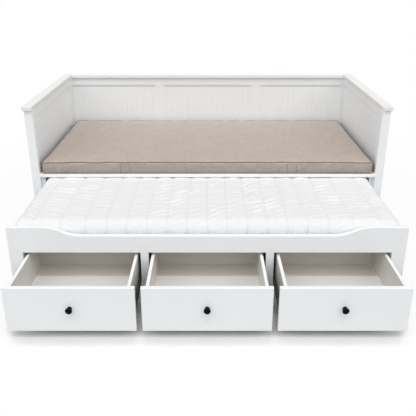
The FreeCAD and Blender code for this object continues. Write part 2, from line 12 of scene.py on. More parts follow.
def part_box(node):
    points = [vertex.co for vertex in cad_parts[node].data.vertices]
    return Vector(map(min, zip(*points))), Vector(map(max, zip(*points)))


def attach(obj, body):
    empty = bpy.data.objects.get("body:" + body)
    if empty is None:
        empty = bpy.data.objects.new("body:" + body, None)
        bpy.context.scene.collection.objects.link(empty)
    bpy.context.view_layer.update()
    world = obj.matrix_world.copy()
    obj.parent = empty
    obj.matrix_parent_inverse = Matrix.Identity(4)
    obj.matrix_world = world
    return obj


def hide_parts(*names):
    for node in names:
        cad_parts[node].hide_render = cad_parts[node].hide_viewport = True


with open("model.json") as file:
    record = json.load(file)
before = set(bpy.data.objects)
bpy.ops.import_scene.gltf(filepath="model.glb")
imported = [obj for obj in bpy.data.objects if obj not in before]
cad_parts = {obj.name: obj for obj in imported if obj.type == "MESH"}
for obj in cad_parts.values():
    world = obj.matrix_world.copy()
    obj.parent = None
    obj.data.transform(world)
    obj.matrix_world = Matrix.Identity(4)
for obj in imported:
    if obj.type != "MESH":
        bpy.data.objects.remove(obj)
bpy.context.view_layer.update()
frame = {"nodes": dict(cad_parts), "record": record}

bl_info = {
    "name": "Daybed with storage drawers",
    "version": (1, 0, 0),
    "blender": (4, 5, 0),
    "location": "View3D > Sidebar > Daybed",
    "description": "Dresses a daybed: two mattresses, knobs, castor wheels, finishes and a plain stage",
    "category": "Object",
}

MM = 0.001
# Length of one wave of the wave texture at scale 1, in millimetres
WAVE_AT_ONE = math.pi / 10 / MM
# Distance within which two points count as level
HAIR = 1e-6
DRAWERS = ("left", "centre", "right")
WHEELS = ("front_left", "front_right", "rear_left", "rear_right")


def linear(hex_colour):
    """An sRGB hex colour as linear red, green and blue."""
    channels = [int(hex_colour[place:place + 2], 16) / 255 for place in (1, 3, 5)]
    return tuple(c / 12.92 if c <= 0.04045 else ((c + 0.055) / 1.055) ** 2.4 for c in channels)


def colour_setting(label, hex_colour, description):
    """A colour that the user can change."""
    return FloatVectorProperty(name=label, description=description, default=linear(hex_colour),
                               size=3, min=0, max=1, subtype="COLOR")


def length_setting(label, millimetres, description):
    """A length that the user can change."""
    return FloatProperty(name=label, description=description, default=millimetres * MM, min=0,
                         subtype="DISTANCE", unit="LENGTH")


class DaybedColours(bpy.types.PropertyGroup):
    """Colours of the finishes."""
    paint: colour_setting("Paint", "#F5F7F8", "Satin enamel on posts, rails and drawer fronts")
    # Painted shade: the side caps take this greyer, warmer copy of the paint so that their tops come out
    # darker
    cap: colour_setting("Side caps", "#EDECEA", "Satin enamel on the cap boards of the two ends")
    foil: colour_setting("Foil", "#D9D6D0", "Melamine foil inside the drawers")
    board: colour_setting("Board", "#E7E5E1", "Lacquered hardboard of the drawer bottoms")
    spruce: colour_setting("Spruce", "#D9C29A", "Bare wood of the slats")
    canvas: colour_setting("Canvas", "#B9ACA2", "Woven cover of the upper mattress")
    ticking: colour_setting("Ticking", "#ECECEC", "Quilted knit of the lower mattress")
    # Painted shade: cool tint laid over the walls of the lower mattress
    wall_shade_knit: colour_setting("Border knit", "#F0F3F6", "Walls of the lower mattress")
    knob: colour_setting("Knob", "#050607", "Black lacquer of the knobs")
    zinc: colour_setting("Zinc", "#A9ADB0", "Plated steel of runners, forks and bolts")
    nylon: colour_setting("Nylon", "#5A5D60", "Castor wheels")
    glide: colour_setting("Glide", "#3B3C3E", "Plastic glides under the posts")


class DaybedSizes(bpy.types.PropertyGroup):
    """Sizes of the soft pieces and fittings."""
    mesh_step: length_setting("Mesh step", 12, "Distance between points of the covers as they swell")
    swell: length_setting("Swell", 6, "How far the filling may push a cover out between its seams")
    piping: length_setting("Piping", 7, "Thickness of the piped edge of the upper mattress")
    crown: length_setting("Crown", 3, "Rise of the upper mattress towards its middle")
    channel_rise: length_setting("Channel rise", 3.5, "Height of a quilted channel over its seams")
    ripple_height: length_setting("Ripple height", 1.3, "Height of the puckers in the knit cover")
    ripple_spacing: length_setting("Ripple spacing", 42, "Distance between the puckers in the knit")


def colours():
    """The colour settings of the scene."""
    return bpy.context.scene.daybed_colours


def sizes():
    """The size settings of the scene."""
    return bpy.context.scene.daybed_sizes


# Materials

def add(tree, kind, inputs=None, links=None, into=None, **settings):
    """Add one node with its settings, socket values and links, and lead its result into a socket."""
    node = tree.nodes.new(kind)
    for name, value in settings.items():
        setattr(node, name, value)
    for name, value in (inputs or {}).items():
        node.inputs[name].default_value = value
    for name, socket in (links or {}).items():
        tree.links.new(socket, node.inputs[name])
    if into is not None:
        tree.links.new(node.outputs[0], into)
    return node


def opaque(colour):
    """A colour with full alpha."""
    return (*colour, 1.0)


def shaded(colour, factor):
    """A lighter or darker shade of a colour."""
    return opaque(tuple(min(1.0, channel * factor) for channel in colour))


def start_material(name, roughness, **values):
    """A new material with its principled shader and the object's own coordinates in metres."""
    material = bpy.data.materials.new(name)
    material.use_nodes = True
    tree = material.node_tree
    shader = tree.nodes["Principled BSDF"]
    shader.inputs["Roughness"].default_value = roughness
    for socket, value in values.items():
        shader.inputs[socket.replace("_", " ")].default_value = value
    place = add(tree, "ShaderNodeTexCoord").outputs["Object"]
    return material, tree, shader, place


def per_metre(spacing):
    """How often a spacing in millimetres fits in a metre, as a scale for noise."""
    return 1000 / spacing


def tint(tree, shader, factor, low, high, span=(0.3, 0.7)):
    """Colour the shader between two shades as a factor goes over its span."""
    ramp = add(tree, "ShaderNodeMapRange", {"From Min": span[0], "From Max": span[1]},
               {"Value": factor})
    mix = add(tree, "ShaderNodeMix", links={"Factor": ramp.outputs["Result"]}, data_type="RGBA")
    mix.inputs["A"].default_value = low
    mix.inputs["B"].default_value = high
    tree.links.new(mix.outputs["Result"], shader.inputs["Base Color"])


def satin_enamel(name="sprayed_satin_enamel", colour=None):
    """Sprayed enamel on board and solid wood."""
    # Even and nearly white; slow shifts of shade and a fine stipple soften its reflections
    colour = colour or colours().paint
    material, tree, shader, place = start_material(name, 0.42, IOR=1.5)
    shift = add(tree, "ShaderNodeTexNoise", {"Scale": per_metre(260), "Detail": 1.0}, {"Vector": place})
    tint(tree, shader, shift.outputs["Fac"], shaded(colour, 0.985), shaded(colour, 1.0))
    stipple = add(tree, "ShaderNodeTexNoise", {"Scale": per_metre(2.2), "Detail": 3.0},
                  {"Vector": place})
    add(tree, "ShaderNodeBump", {"Distance": 0.05 * MM, "Strength": 0.5},
        {"Height": stipple.outputs["Fac"]}, shader.inputs["Normal"])
    return material


def slope(tree, kind, axis, steep):
    """From 0 to 1 as the surface's normal leans to or from an axis, over the steep span."""
    normal = add(tree, "ShaderNodeNewGeometry").outputs[kind]
    parts = add(tree, "ShaderNodeSeparateXYZ", links={"Vector": normal})
    lean = add(tree, "ShaderNodeMath", links={0: parts.outputs[axis]}, operation="ABSOLUTE")
    return add(tree, "ShaderNodeMapRange", {"From Min": steep[0], "From Max": steep[1]},
               {"Value": lean.outputs[0]}).outputs["Result"]


def overlay(tree, shader, factor, colour):
    """Lay a second colour over the shader's own colour where the factor is 1."""
    under = shader.inputs["Base Color"].links[0].from_socket
    mix = add(tree, "ShaderNodeMix", links={"Factor": factor, "A": under}, data_type="RGBA")
    mix.inputs["B"].default_value = colour
    tree.links.new(mix.outputs["Result"], shader.inputs["Base Color"])


def enamel_with_groove_shade():
    """Sprayed enamel on a board with vee grooves along Z."""
    # Painted shade: the slanting walls of the grooves are greyed, as if in shade, so that the grooves show
    material = satin_enamel("enamel_with_painted_groove_shade")
    tree = material.node_tree
    slanting = slope(tree, "True Normal", "Y", (0.3, 0.5))
    overlay(tree, tree.nodes["Principled BSDF"], slanting, shaded(colours().paint, 0.89))
    return material


def bead_enamel_with_painted_shade():
    """Sprayed enamel on the half-round mouldings under the top rails."""
    # Painted shade: the upper and lower edges of a moulding are darkened to thin grey lines, as if in
    # shadow, so that the bead shows
    material = satin_enamel("bead_enamel_painted_shade_lines")
    tree = material.node_tree
    edge = slope(tree, "True Normal", "Z", (0.3, 0.6))
    overlay(tree, tree.nodes["Principled BSDF"], edge, shaded(colours().paint, 0.5))
    return material


def melamine_foil():
    """Printed melamine foil on particle board."""
    # Warm off-white, a little glossier than the paint, with a faint pore pattern and white edges
    colour = colours().foil
    material, tree, shader, place = start_material("melamine_foil", 0.38, IOR=1.5)
    shift = add(tree, "ShaderNodeTexNoise", {"Scale": per_metre(180), "Detail": 1.0}, {"Vector": place})
    tint(tree, shader, shift.outputs["Fac"], shaded(colour, 0.98), shaded(colour, 1.0))
    overlay(tree, shader, slope(tree, "True Normal", "Z", (0.9, 0.95)), opaque(colours().paint))
    pores = add(tree, "ShaderNodeTexNoise", {"Scale": per_metre(1.5)}, {"Vector": place})
    add(tree, "ShaderNodeBump", {"Distance": 0.03 * MM, "Strength": 0.4},
        {"Height": pores.outputs["Fac"]}, shader.inputs["Normal"])
    return material


def lacquered_hardboard():
    """Pressed fibre board with one lacquered face."""
    # Flat and slightly mottled from the fibres under its thin lacquer
    colour = colours().board
    material, tree, shader, place = start_material("lacquered_hardboard", 0.5, IOR=1.48)
    fibres = add(tree, "ShaderNodeTexNoise",
                 {"Scale": per_metre(7), "Detail": 4.0, "Roughness": 0.65}, {"Vector": place})
    tint(tree, shader, fibres.outputs["Fac"], shaded(colour, 0.975), shaded(colour, 1.0))
    add(tree, "ShaderNodeBump", {"Distance": 0.06 * MM, "Strength": 0.4},
        {"Height": fibres.outputs["Fac"]}, shader.inputs["Normal"])
    return material


def planed_spruce():
    """Planed spruce or pine without a finish."""
    # Long growth lines about 8 mm apart with darker late wood, matt and slightly fibrous
    colour = colours().spruce
    material, tree, shader, place = start_material("planed_spruce", 0.62, IOR=1.5)
    stretch = add(tree, "ShaderNodeMapping", {"Scale": (1.0, 0.06, 1.0)}, {"Vector": place})
    grain = add(tree, "ShaderNodeTexWave",
                {"Scale": WAVE_AT_ONE / 7.892, "Distortion": 5.0, "Detail": 3.0, "Detail Scale": 1.2},
                {"Vector": stretch.outputs["Vector"]}, bands_direction="X")
    tint(tree, shader, grain.outputs["Fac"], shaded(colour, 0.82), shaded(colour, 1.03), (0.1, 0.9))
    add(tree, "ShaderNodeBump", {"Distance": 0.08 * MM, "Strength": 0.5},
        {"Height": grain.outputs["Fac"]}, shader.inputs["Normal"])
    return material


def weave(tree, place, spacing):
    """Crossing threads at a spacing in millimetres, as heights between 0 and 2."""
    threads = []
    for direction in ("X", "Y", "Z"):
        wave = add(tree, "ShaderNodeTexWave",
                   {"Scale": WAVE_AT_ONE / spacing, "Distortion": 0.6, "Detail Scale": 3.0},
                   {"Vector": place}, bands_direction=direction)
        threads.append(wave.outputs["Fac"])
    pair = add(tree, "ShaderNodeMath", links={0: threads[0], 1: threads[1]}, operation="MULTIPLY")
    cross = add(tree, "ShaderNodeMath", links={0: pair.outputs[0], 1: threads[2]}, operation="ADD")
    return cross.outputs[0]


def woven_canvas(name="woven_canvas", darker=1.0):
    """Heathered cotton and polyester canvas, plain woven."""
    # Beige threads of two shades give a soft fleck, and a light sheen at low angles
    colour = colours().canvas
    material, tree, shader, place = start_material(name, 0.88, Sheen_Weight=0.12, Sheen_Roughness=0.5)
    # The fleck is drawn 13 mm wide, coarser than the real 2 mm, so that it shows
    fleck = add(tree, "ShaderNodeTexNoise",
                {"Scale": per_metre(13), "Detail": 4.0, "Roughness": 0.8}, {"Vector": place})
    cloud = add(tree, "ShaderNodeTexNoise", {"Scale": per_metre(90)}, {"Vector": place})
    both = add(tree, "ShaderNodeMix", {"Factor": 0.15},
               {"A": fleck.outputs["Fac"], "B": cloud.outputs["Fac"]}, data_type="FLOAT")
    # The darker factor paints shade: it makes the darker copies for the walls and the piping
    tint(tree, shader, both.outputs["Result"], shaded(colour, 0.84 * darker),
         shaded(colour, 1.14 * darker), (0.35, 0.65))
    # Threads are drawn nearly 5 mm apart, coarser than the real 0.8 mm, so that they show
    threads = add(tree, "ShaderNodeBump", {"Distance": 0.25 * MM, "Strength": 0.6},
                  {"Height": weave(tree, place, 4.735)})
    add(tree, "ShaderNodeBump", {"Distance": 0.3 * MM, "Strength": 0.5},
        {"Height": fleck.outputs["Fac"], "Normal": threads.outputs["Normal"]}, shader.inputs["Normal"])
    return material


def quilted_knit():
    """Polyester knit of a washable mattress cover."""
    # Bright matt white; soft fuzz and small puckers over the stitched channels. Painted shade: the walls
    # take a cooler, bluish tint in place of the cool shade that falls on them
    colour = colours().ticking
    material, tree, shader, place = start_material("quilted_knit", 0.9, Sheen_Weight=0.15,
                                                   Sheen_Roughness=0.6)
    cloud = add(tree, "ShaderNodeTexNoise", {"Scale": per_metre(40)}, {"Vector": place})
    tint(tree, shader, cloud.outputs["Fac"], shaded(colour, 0.975), shaded(colour, 1.0))
    # Painted shade: a cooler tint on the faces that lean away from up, the walls
    level = slope(tree, "Normal", "Z", (0.6, 0.05))
    overlay(tree, shader, level, opaque(colours().wall_shade_knit))
    pucker = add(tree, "ShaderNodeTexNoise",
                 {"Scale": per_metre(14), "Detail": 3.0, "Roughness": 0.6}, {"Vector": place})
    creases = add(tree, "ShaderNodeBump", {"Distance": 1.2 * MM, "Strength": 0.35},
                  {"Height": pucker.outputs["Fac"]})
    # Rows of loops are drawn about 4 mm apart, coarser than the real 1 mm, so that they show
    add(tree, "ShaderNodeBump", {"Distance": 0.2 * MM, "Strength": 0.4},
        {"Height": weave(tree, place, 3.946), "Normal": creases.outputs["Normal"]},
        shader.inputs["Normal"])
    return material


def sewing_thread(name, colour, shade):
    """Twisted polyester thread in a tone under its cloth."""
    # Flecks as small as its plies, and nearly no shine
    material, tree, shader, place = start_material(name, 0.7)
    plies = add(tree, "ShaderNodeTexNoise", {"Scale": per_metre(1.2), "Detail": 1.0}, {"Vector": place})
    tint(tree, shader, plies.outputs["Fac"], shaded(colour, shade * 0.93), shaded(colour, shade))
    return material


def black_lacquer():
    """Black lacquer on a turned wooden knob."""
    # Near black with one soft highlight, which polish marks break up a little
    colour = colours().knob
    material, tree, shader, place = start_material("black_lacquer", 0.34, IOR=1.45, Specular_IOR_Level=0.1)
    smear = add(tree, "ShaderNodeTexNoise", {"Scale": per_metre(6)}, {"Vector": place})
    tint(tree, shader, smear.outputs["Fac"], shaded(colour, 0.85), shaded(colour, 1.15))
    add(tree, "ShaderNodeBump", {"Distance": 0.03 * MM, "Strength": 0.3},
        {"Height": smear.outputs["Fac"]}, shader.inputs["Normal"])
    return material


def zinc_plated_steel():
    """Cold rolled steel with a thin zinc plating."""
    # Dull grey metal with a fine grain from rolling
    colour = colours().zinc
    material, tree, shader, place = start_material("zinc_plated_steel", 0.36, Metallic=1.0)
    stretch = add(tree, "ShaderNodeMapping", {"Scale": (1.0, 0.08, 1.0)}, {"Vector": place})
    grain = add(tree, "ShaderNodeTexNoise", {"Scale": per_metre(1.4), "Detail": 3.0},
                {"Vector": stretch.outputs["Vector"]})
    tint(tree, shader, grain.outputs["Fac"], shaded(colour, 0.9), shaded(colour, 1.05))
    add(tree, "ShaderNodeBump", {"Distance": 0.02 * MM, "Strength": 0.4},
        {"Height": grain.outputs["Fac"]}, shader.inputs["Normal"])
    return material


def moulded_plastic(name, colour, roughness):
    """Injection moulded plastic with a fine eroded texture."""
    # Even dull colour whose surface breaks up the highlights
    material, tree, shader, place = start_material(name, roughness, IOR=1.46)
    spark = add(tree, "ShaderNodeTexNoise", {"Scale": per_metre(0.9)}, {"Vector": place})
    tint(tree, shader, spark.outputs["Fac"], shaded(colour, 0.93), shaded(colour, 1.05))
    add(tree, "ShaderNodeBump", {"Distance": 0.04 * MM, "Strength": 0.4},
        {"Height": spark.outputs["Fac"]}, shader.inputs["Normal"])
    return material


SLOT_MAKERS = {
    "white_paint": satin_enamel,
    "white_board": melamine_foil,
    "drawer_bottom": lacquered_hardboard,
    "bare_slats": planed_spruce,
    "beige_canvas": woven_canvas,
    "white_quilting": quilted_knit,
    "black_knob": black_lacquer,
    "steel": zinc_plated_steel,
    "wheel_plastic": lambda: moulded_plastic("moulded_nylon", colours().nylon, 0.45),
    "glide_plastic": lambda: moulded_plastic("moulded_polyethylene", colours().glide, 0.5),
}
made_materials = {}


def finish_of(slot):
    """The material of a slot, made once."""
    if slot not in made_materials:
        made_materials[slot] = SLOT_MAKERS[slot]()
    return made_materials[slot]


def node_slots():
    """The record's material slot of each CAD node."""
    return {part["node"]: part["material_slot"] for part in frame["record"]["subparts"]}


# Meshes

def new_object(name, points, faces, smooth=True):
    """A mesh object from points in metres."""
    mesh = bpy.data.meshes.new(name)
    mesh.from_pydata([tuple(point) for point in points], [], faces)
    mesh.validate()
    mesh.update()
    if smooth:
        mesh.shade_smooth()
    piece = bpy.data.objects.new(name, mesh)
    bpy.context.scene.collection.objects.link(piece)
    return piece


def seat(piece, body, slot, *nodes, material=None):
    """Give a piece its finish, its body and the nodes that it stands for."""
    piece.data.materials.clear()
    piece.data.materials.append(material or finish_of(slot))
    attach(piece, body)
    if nodes:
        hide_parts(*nodes)


def places_of(mesh):
    """The points of a mesh as an array."""
    flat = np.empty(len(mesh.vertices) * 3)
    mesh.vertices.foreach_get("co", flat)
    return flat.reshape(-1, 3)


def set_places(mesh, points):
    """Move the points of a mesh."""
    mesh.vertices.foreach_set("co", np.ascontiguousarray(points, dtype=np.float32).ravel())
    mesh.update()


def emboss(piece, heights):
    """Move each point of a piece out along its normal."""
    flat = np.empty(len(piece.data.vertices) * 3)
    piece.data.vertex_normals.foreach_get("vector", flat)
    set_places(piece.data, places_of(piece.data) + flat.reshape(-1, 3) * heights[:, None])


def refine(piece):
    """Subdivide a piece once; its own points keep their numbers."""
    subdivision = piece.modifiers.new("subdivision", "SUBSURF")
    subdivision.levels = subdivision.render_levels = 1
    graph = bpy.context.evaluated_depsgraph_get()
    fine = bpy.data.meshes.new_from_object(piece.evaluated_get(graph))
    piece.modifiers.clear()
    piece.data = fine
    fine.shade_smooth()


def even(start, stop, step):
    """Ticks from start to stop, about a step apart."""
    return np.linspace(start, stop, max(2, round((stop - start) / step)) + 1)


def soft_step(value, start, stop):
    """From 0 at start to 1 at stop, easing in and out."""
    share = np.clip((value - start) / (stop - start), 0, 1)
    return share * share * (3 - 2 * share)


class Shell:
    """A closed box of grids on ticks along each axis: base, four walls and top in one skin."""

    def __init__(self, *ticks):
        self.ticks = [np.array(row) for row in ticks]
        self.last = [len(row) - 1 for row in self.ticks]
        self.numbers = {}
        self.faces = []
        for axis in range(3):
            for end in (0, 1):
                self.add_side(axis, end)
        cells = np.array(list(self.numbers))
        self.points = np.stack([row[cells[:, axis]] for axis, row in enumerate(self.ticks)], axis=1)

    def number(self, *cell):
        """The number of a grid point, new or known."""
        return self.numbers.setdefault(cell, len(self.numbers))

    def add_side(self, axis, end):
        """The faces of one side, turned outwards."""
        across, along = (axis + 1) % 3, (axis + 2) % 3
        for first in range(self.last[across]):
            for second in range(self.last[along]):
                ring = []
                for step_across, step_along in ((0, 0), (1, 0), (1, 1), (0, 1)):
                    cell = [end * self.last[axis]] * 3
                    cell[across] = first + step_across
                    cell[along] = second + step_along
                    ring.append(self.number(*cell))
                self.faces.append(ring if end else ring[::-1])

    def edge_loop(self, layer):
        """The points round the box at one tick of its height, in order."""
        last_x, last_y, _ = self.last
        loop = [(x, 0) for x in range(last_x)] + [(last_x, y) for y in range(last_y)]
        loop += [(x, last_y) for x in range(last_x, 0, -1)] + [(0, y) for y in range(last_y, 0, -1)]
        return [self.numbers[x, y, layer] for x, y in loop]

    def column(self, x):
        """The points up the front and back along the top at one tick of its length, in order."""
        _, last_y, last_z = self.last
        places = [(0, z) for z in range(1, last_z)] + [(y, last_z) for y in range(last_y + 1)]
        return [self.numbers[x, y, z] for y, z in places]


def rounded(points, foot_radii, top_radii):
    """Round the edges of a box's skin, with one set of radii at its foot and one at its top."""
    low, high = points.min(0), points.max(0)
    rise = soft_step((points[:, 2] - low[2]) / (high[2] - low[2]), 0.35, 0.65)
    radii = np.array(foot_radii) + rise[:, None] * (np.array(top_radii) - np.array(foot_radii))
    core = np.clip(points, low + radii, high - radii)
    away = (points - core) / radii
    length = np.linalg.norm(away, axis=1, keepdims=True)
    return core + away / np.maximum(length, 1e-9) * radii * (length > 0)


def waves(places, spacing, heading, spread, seed, count=7):
    """Long uneven waves over flat places, crests along the heading in degrees, height about 1."""
    random = np.random.default_rng(seed)
    total = np.zeros(len(places))
    for _ in range(count):
        turn = np.radians(heading + random.uniform(-spread, spread))
        length = spacing * random.uniform(0.7, 1.45)
        across = np.cos(turn) * places[:, 1] - np.sin(turn) * places[:, 0]
        total += np.cos(2 * np.pi * (across / length + random.uniform()))
    return total / math.sqrt(count / 2)


# Steps of the simulation that fills a cover out
SWELL_FRAMES = 20


def swell(piece, held, limit, shrink):
    """Let a cover fill out like a stuffed cushion, held at its seams, and keep its shape."""
    start = places_of(piece.data)
    group = piece.vertex_groups.new(name="held")
    group.add([int(number) for number in held], 1.0, "REPLACE")
    cloth = piece.modifiers.new("cloth", "CLOTH")
    settings = cloth.settings
    settings.quality = 4
    settings.mass = 0.3
    settings.tension_stiffness = settings.compression_stiffness = 15
    settings.bending_stiffness = 0.3
    settings.use_pressure = True
    settings.uniform_pressure_force = 4.0
    settings.shrink_min = shrink
    settings.vertex_group_mass = group.name
    settings.effector_weights.gravity = 0
    cloth.collision_settings.use_collision = False
    scene = bpy.context.scene
    for number in range(1, SWELL_FRAMES + 1):
        scene.frame_set(number)
    graph = bpy.context.evaluated_depsgraph_get()
    settled = places_of(piece.evaluated_get(graph).data)
    piece.modifiers.remove(cloth)
    piece.vertex_groups.remove(group)
    scene.frame_set(1)
    shift = settled - start
    length = np.linalg.norm(shift, axis=1, keepdims=True)
    set_places(piece.data, start + shift * np.minimum(1, limit / np.maximum(length, 1e-9)))


def ring_tube(name, path, radius, sides=8):
    """A round tube along a nearly level closed path."""
    ahead = np.roll(path, -1, axis=0) - np.roll(path, 1, axis=0)
    ahead /= np.linalg.norm(ahead, axis=1, keepdims=True)
    side = np.cross(ahead, (0, 0, 1))
    side /= np.linalg.norm(side, axis=1, keepdims=True)
    up = np.cross(side, ahead)
    points = []
    for turn in np.arange(sides) * 2 * np.pi / sides:
        points.append(path + radius * (np.cos(turn) * side + np.sin(turn) * up))
    points = np.stack(points, axis=1).reshape(-1, 3)
    rings = len(path)
    faces = []
    for ring in range(rings):
        after = (ring + 1) % rings
        for number in range(sides):
            beside = (number + 1) % sides
            faces.append([ring * sides + number, ring * sides + beside,
                          after * sides + beside, after * sides + number][::-1])
    return new_object(name, points, faces)


def spaced(path, pitch):
    """Points along a path at an even pitch."""
    path = np.array(path)
    reach = np.concatenate([[0], np.cumsum(np.linalg.norm(np.diff(path, axis=0), axis=1))])
    stops = np.arange(pitch / 2, reach[-1], pitch)
    return np.stack([np.interp(stops, reach, path[:, axis]) for axis in range(3)], axis=1)


def stitches(name, paths, pitch, length, radius):
    """Short lengths of thread that dive into the cloth at both ends."""
    along = np.array((-0.5, -0.4, 0.0, 0.4, 0.5)) * length
    girth = np.array((0.3, 0.8, 1.0, 0.8, 0.3)) * radius
    sink = np.array((-0.6, 0.0, 0.35, 0.0, -0.6)) * radius
    sides = 6
    points = []
    faces = []
    for path in paths:
        middles = spaced(path, pitch)
        ways = np.gradient(middles, axis=0)
        ways /= np.linalg.norm(ways, axis=1, keepdims=True)
        for middle, way in zip(middles, ways):
            side = np.array((1.0, 0.0, 0.0)) if abs(way[0]) < 0.7 else np.array((0.0, 0.0, 1.0))
            side -= way * side.dot(way)
            side /= np.linalg.norm(side)
            out = np.cross(side, way)
            first = len(points)
            for step, thick, drop in zip(along, girth, sink):
                for turn in np.arange(sides) * 2 * np.pi / sides:
                    points.append(middle + way * step + out * drop
                                  + thick * (np.cos(turn) * side + np.sin(turn) * out))
            for ring in range(len(along) - 1):
                for number in range(sides):
                    beside = (number + 1) % sides
                    a, b = first + ring * sides, first + (ring + 1) * sides
                    faces.append([a + number, a + beside, b + beside, b + number])
    return new_object(name, points, faces)


def turned(name, profile, origin, axis, sides=48):
    """A turned piece from heights and radii along an axis, closed at both ends."""
    origin, axis = np.array(origin), np.array(axis, dtype=float)
    side = np.cross(axis, (0.0, 0.0, 1.0) if abs(axis[2]) < 0.9 else (1.0, 0.0, 0.0))
    side /= np.linalg.norm(side)
    other = np.cross(axis, side)
    points = []
    for height, radius in profile:
        for turn in np.arange(sides) * 2 * np.pi / sides:
            points.append(origin + axis * height + radius * (np.cos(turn) * side + np.sin(turn) * other))
    faces = [list(range(sides))[::-1]]
    for ring in range(len(profile) - 1):
        for number in range(sides):
            beside = (number + 1) % sides
            a, b = ring * sides, (ring + 1) * sides
            faces.append([a + number, a + beside, b + beside, b + number])
    faces.append(list(range((len(profile) - 1) * sides, len(profile) * sides)))
    return new_object(name, points, faces)


def arc(centre, radius, start, stop, count):
    """Heights and radii along a round stretch of a profile; angles in degrees from the axis."""
    turns = np.radians(np.linspace(start, stop, count))
    return [(centre[0] + radius * math.cos(turn), centre[1] + radius * math.sin(turn)) for turn in turns]


# Upper mattress

# Room inside the CAD solid for the cover to swell, and how far its sides draw in between corners
UPPER_ROOM = 1.5 * MM
UPPER_DRAW = 3.5 * MM
# Radii of the cover's edges along X, Y and Z, at its foot and at its top
UPPER_FOOT_RADII = (12 * MM, 12 * MM, 6 * MM)
UPPER_TOP_RADII = (12 * MM, 12 * MM, 7 * MM)
# Rise of the front edge, slow waves of the top, short waves of its long edges
FRONT_LIP = 5 * MM
SLOW_WAVES = 0.5 * MM
EDGE_WAVES = 1.1 * MM
# Outward bulge of the walls and their upright folds
WALL_BELLY = 2.2 * MM
WALL_FOLDS = 0.7 * MM
# Distances from the middle of the depth between which the top turns into the front or back wall
WALL_SPAN = (460 * MM, 480 * MM)
# Places along the front where its edge has sunk and its foot is lifted, in millimetres: centre,
# width, height; and how far up the wall a lifted foot shows
SUNK_PLACES = ((-921, 22, 6), (900, 60, 3))
LIFTED_PLACES = ((-800, 50, 4.5), (790, 60, 3.6))
LIFT_REACH = 30 * MM
# Middles of the two handle bands along the front, their width, how far they end over the foot and
# under the top, and how far they and their edges stand out from the cover
BAND_PLACES = (-468 * MM, 480 * MM)
BAND_WIDTH = 52 * MM
BAND_ENDS = (6 * MM, 5 * MM)
BAND_LIFT = 1 * MM
BAND_EDGE_LIFT = 0.1 * MM


def humps(places, rows):
    """Smooth humps along X from rows of centre, width and height in millimetres."""
    return sum(height * MM * np.exp(-((places - centre * MM) / (width * MM)) ** 2)
               for centre, width, height in rows)


def upper_shape():
    """The canvas cover before it swells: crowned, drawn in between its corners."""
    low, high = (np.array(corner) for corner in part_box("upper_mattress"))
    low += np.array((UPPER_ROOM, UPPER_ROOM, 0))
    high -= np.array((UPPER_ROOM, UPPER_ROOM, sizes().crown))
    step = sizes().mesh_step
    wall_step = 8 * MM
    shell = Shell(even(low[0], high[0], step), even(low[1], high[1], step),
                  even(low[2], high[2], wall_step))
    points = rounded(shell.points, UPPER_FOOT_RADII, UPPER_TOP_RADII)
    middle, half = (low + high) / 2, (high - low) / 2
    share = (points - middle) / half
    for axis, other in ((0, 1), (1, 0)):
        wall = np.sign(share[:, axis]) * (np.abs(share[:, axis]) > 0.9)
        points[:, axis] -= UPPER_DRAW * wall * (1 - share[:, other] ** 2)
    return shell, points, low, high


def upper_relief(points, low, high):
    """Height changes of the cover along Z: crown, slow unevenness and settled corners."""
    middle, half = (low + high) / 2, (high - low) / 2
    share = np.clip((points - middle) / half, -1, 1)
    rise = soft_step(points[:, 2], low[2], high[2])
    lip = FRONT_LIP * soft_step(-share[:, 1], 0.6, 1.0)
    crown = sizes().crown * (1 - share[:, 0] ** 6) * (1 - share[:, 1] ** 4)
    near_edge = share[:, 1] ** 8
    slow = waves(points, spacing=240 * MM, heading=20, spread=90, seed=11) * (1 - near_edge)
    short = waves(points, spacing=160 * MM, heading=90, spread=20, seed=5) * near_edge
    sunk = humps(points[:, 0], SUNK_PLACES) * soft_step(-share[:, 1], 0.75, 1.0)
    return rise * (crown + SLOW_WAVES * slow + EDGE_WAVES * short + lip - sunk)


def wall_relief(points, low, high):
    """Bulge and upright folds of the cover's front and back walls, outwards."""
    share = (points[:, 2] - (low[2] + high[2]) / 2) / ((high[2] - low[2]) / 2)
    folds = waves(points, spacing=110 * MM, heading=90, spread=25, seed=8)
    return (1 - share ** 2) * (WALL_BELLY + WALL_FOLDS * folds)


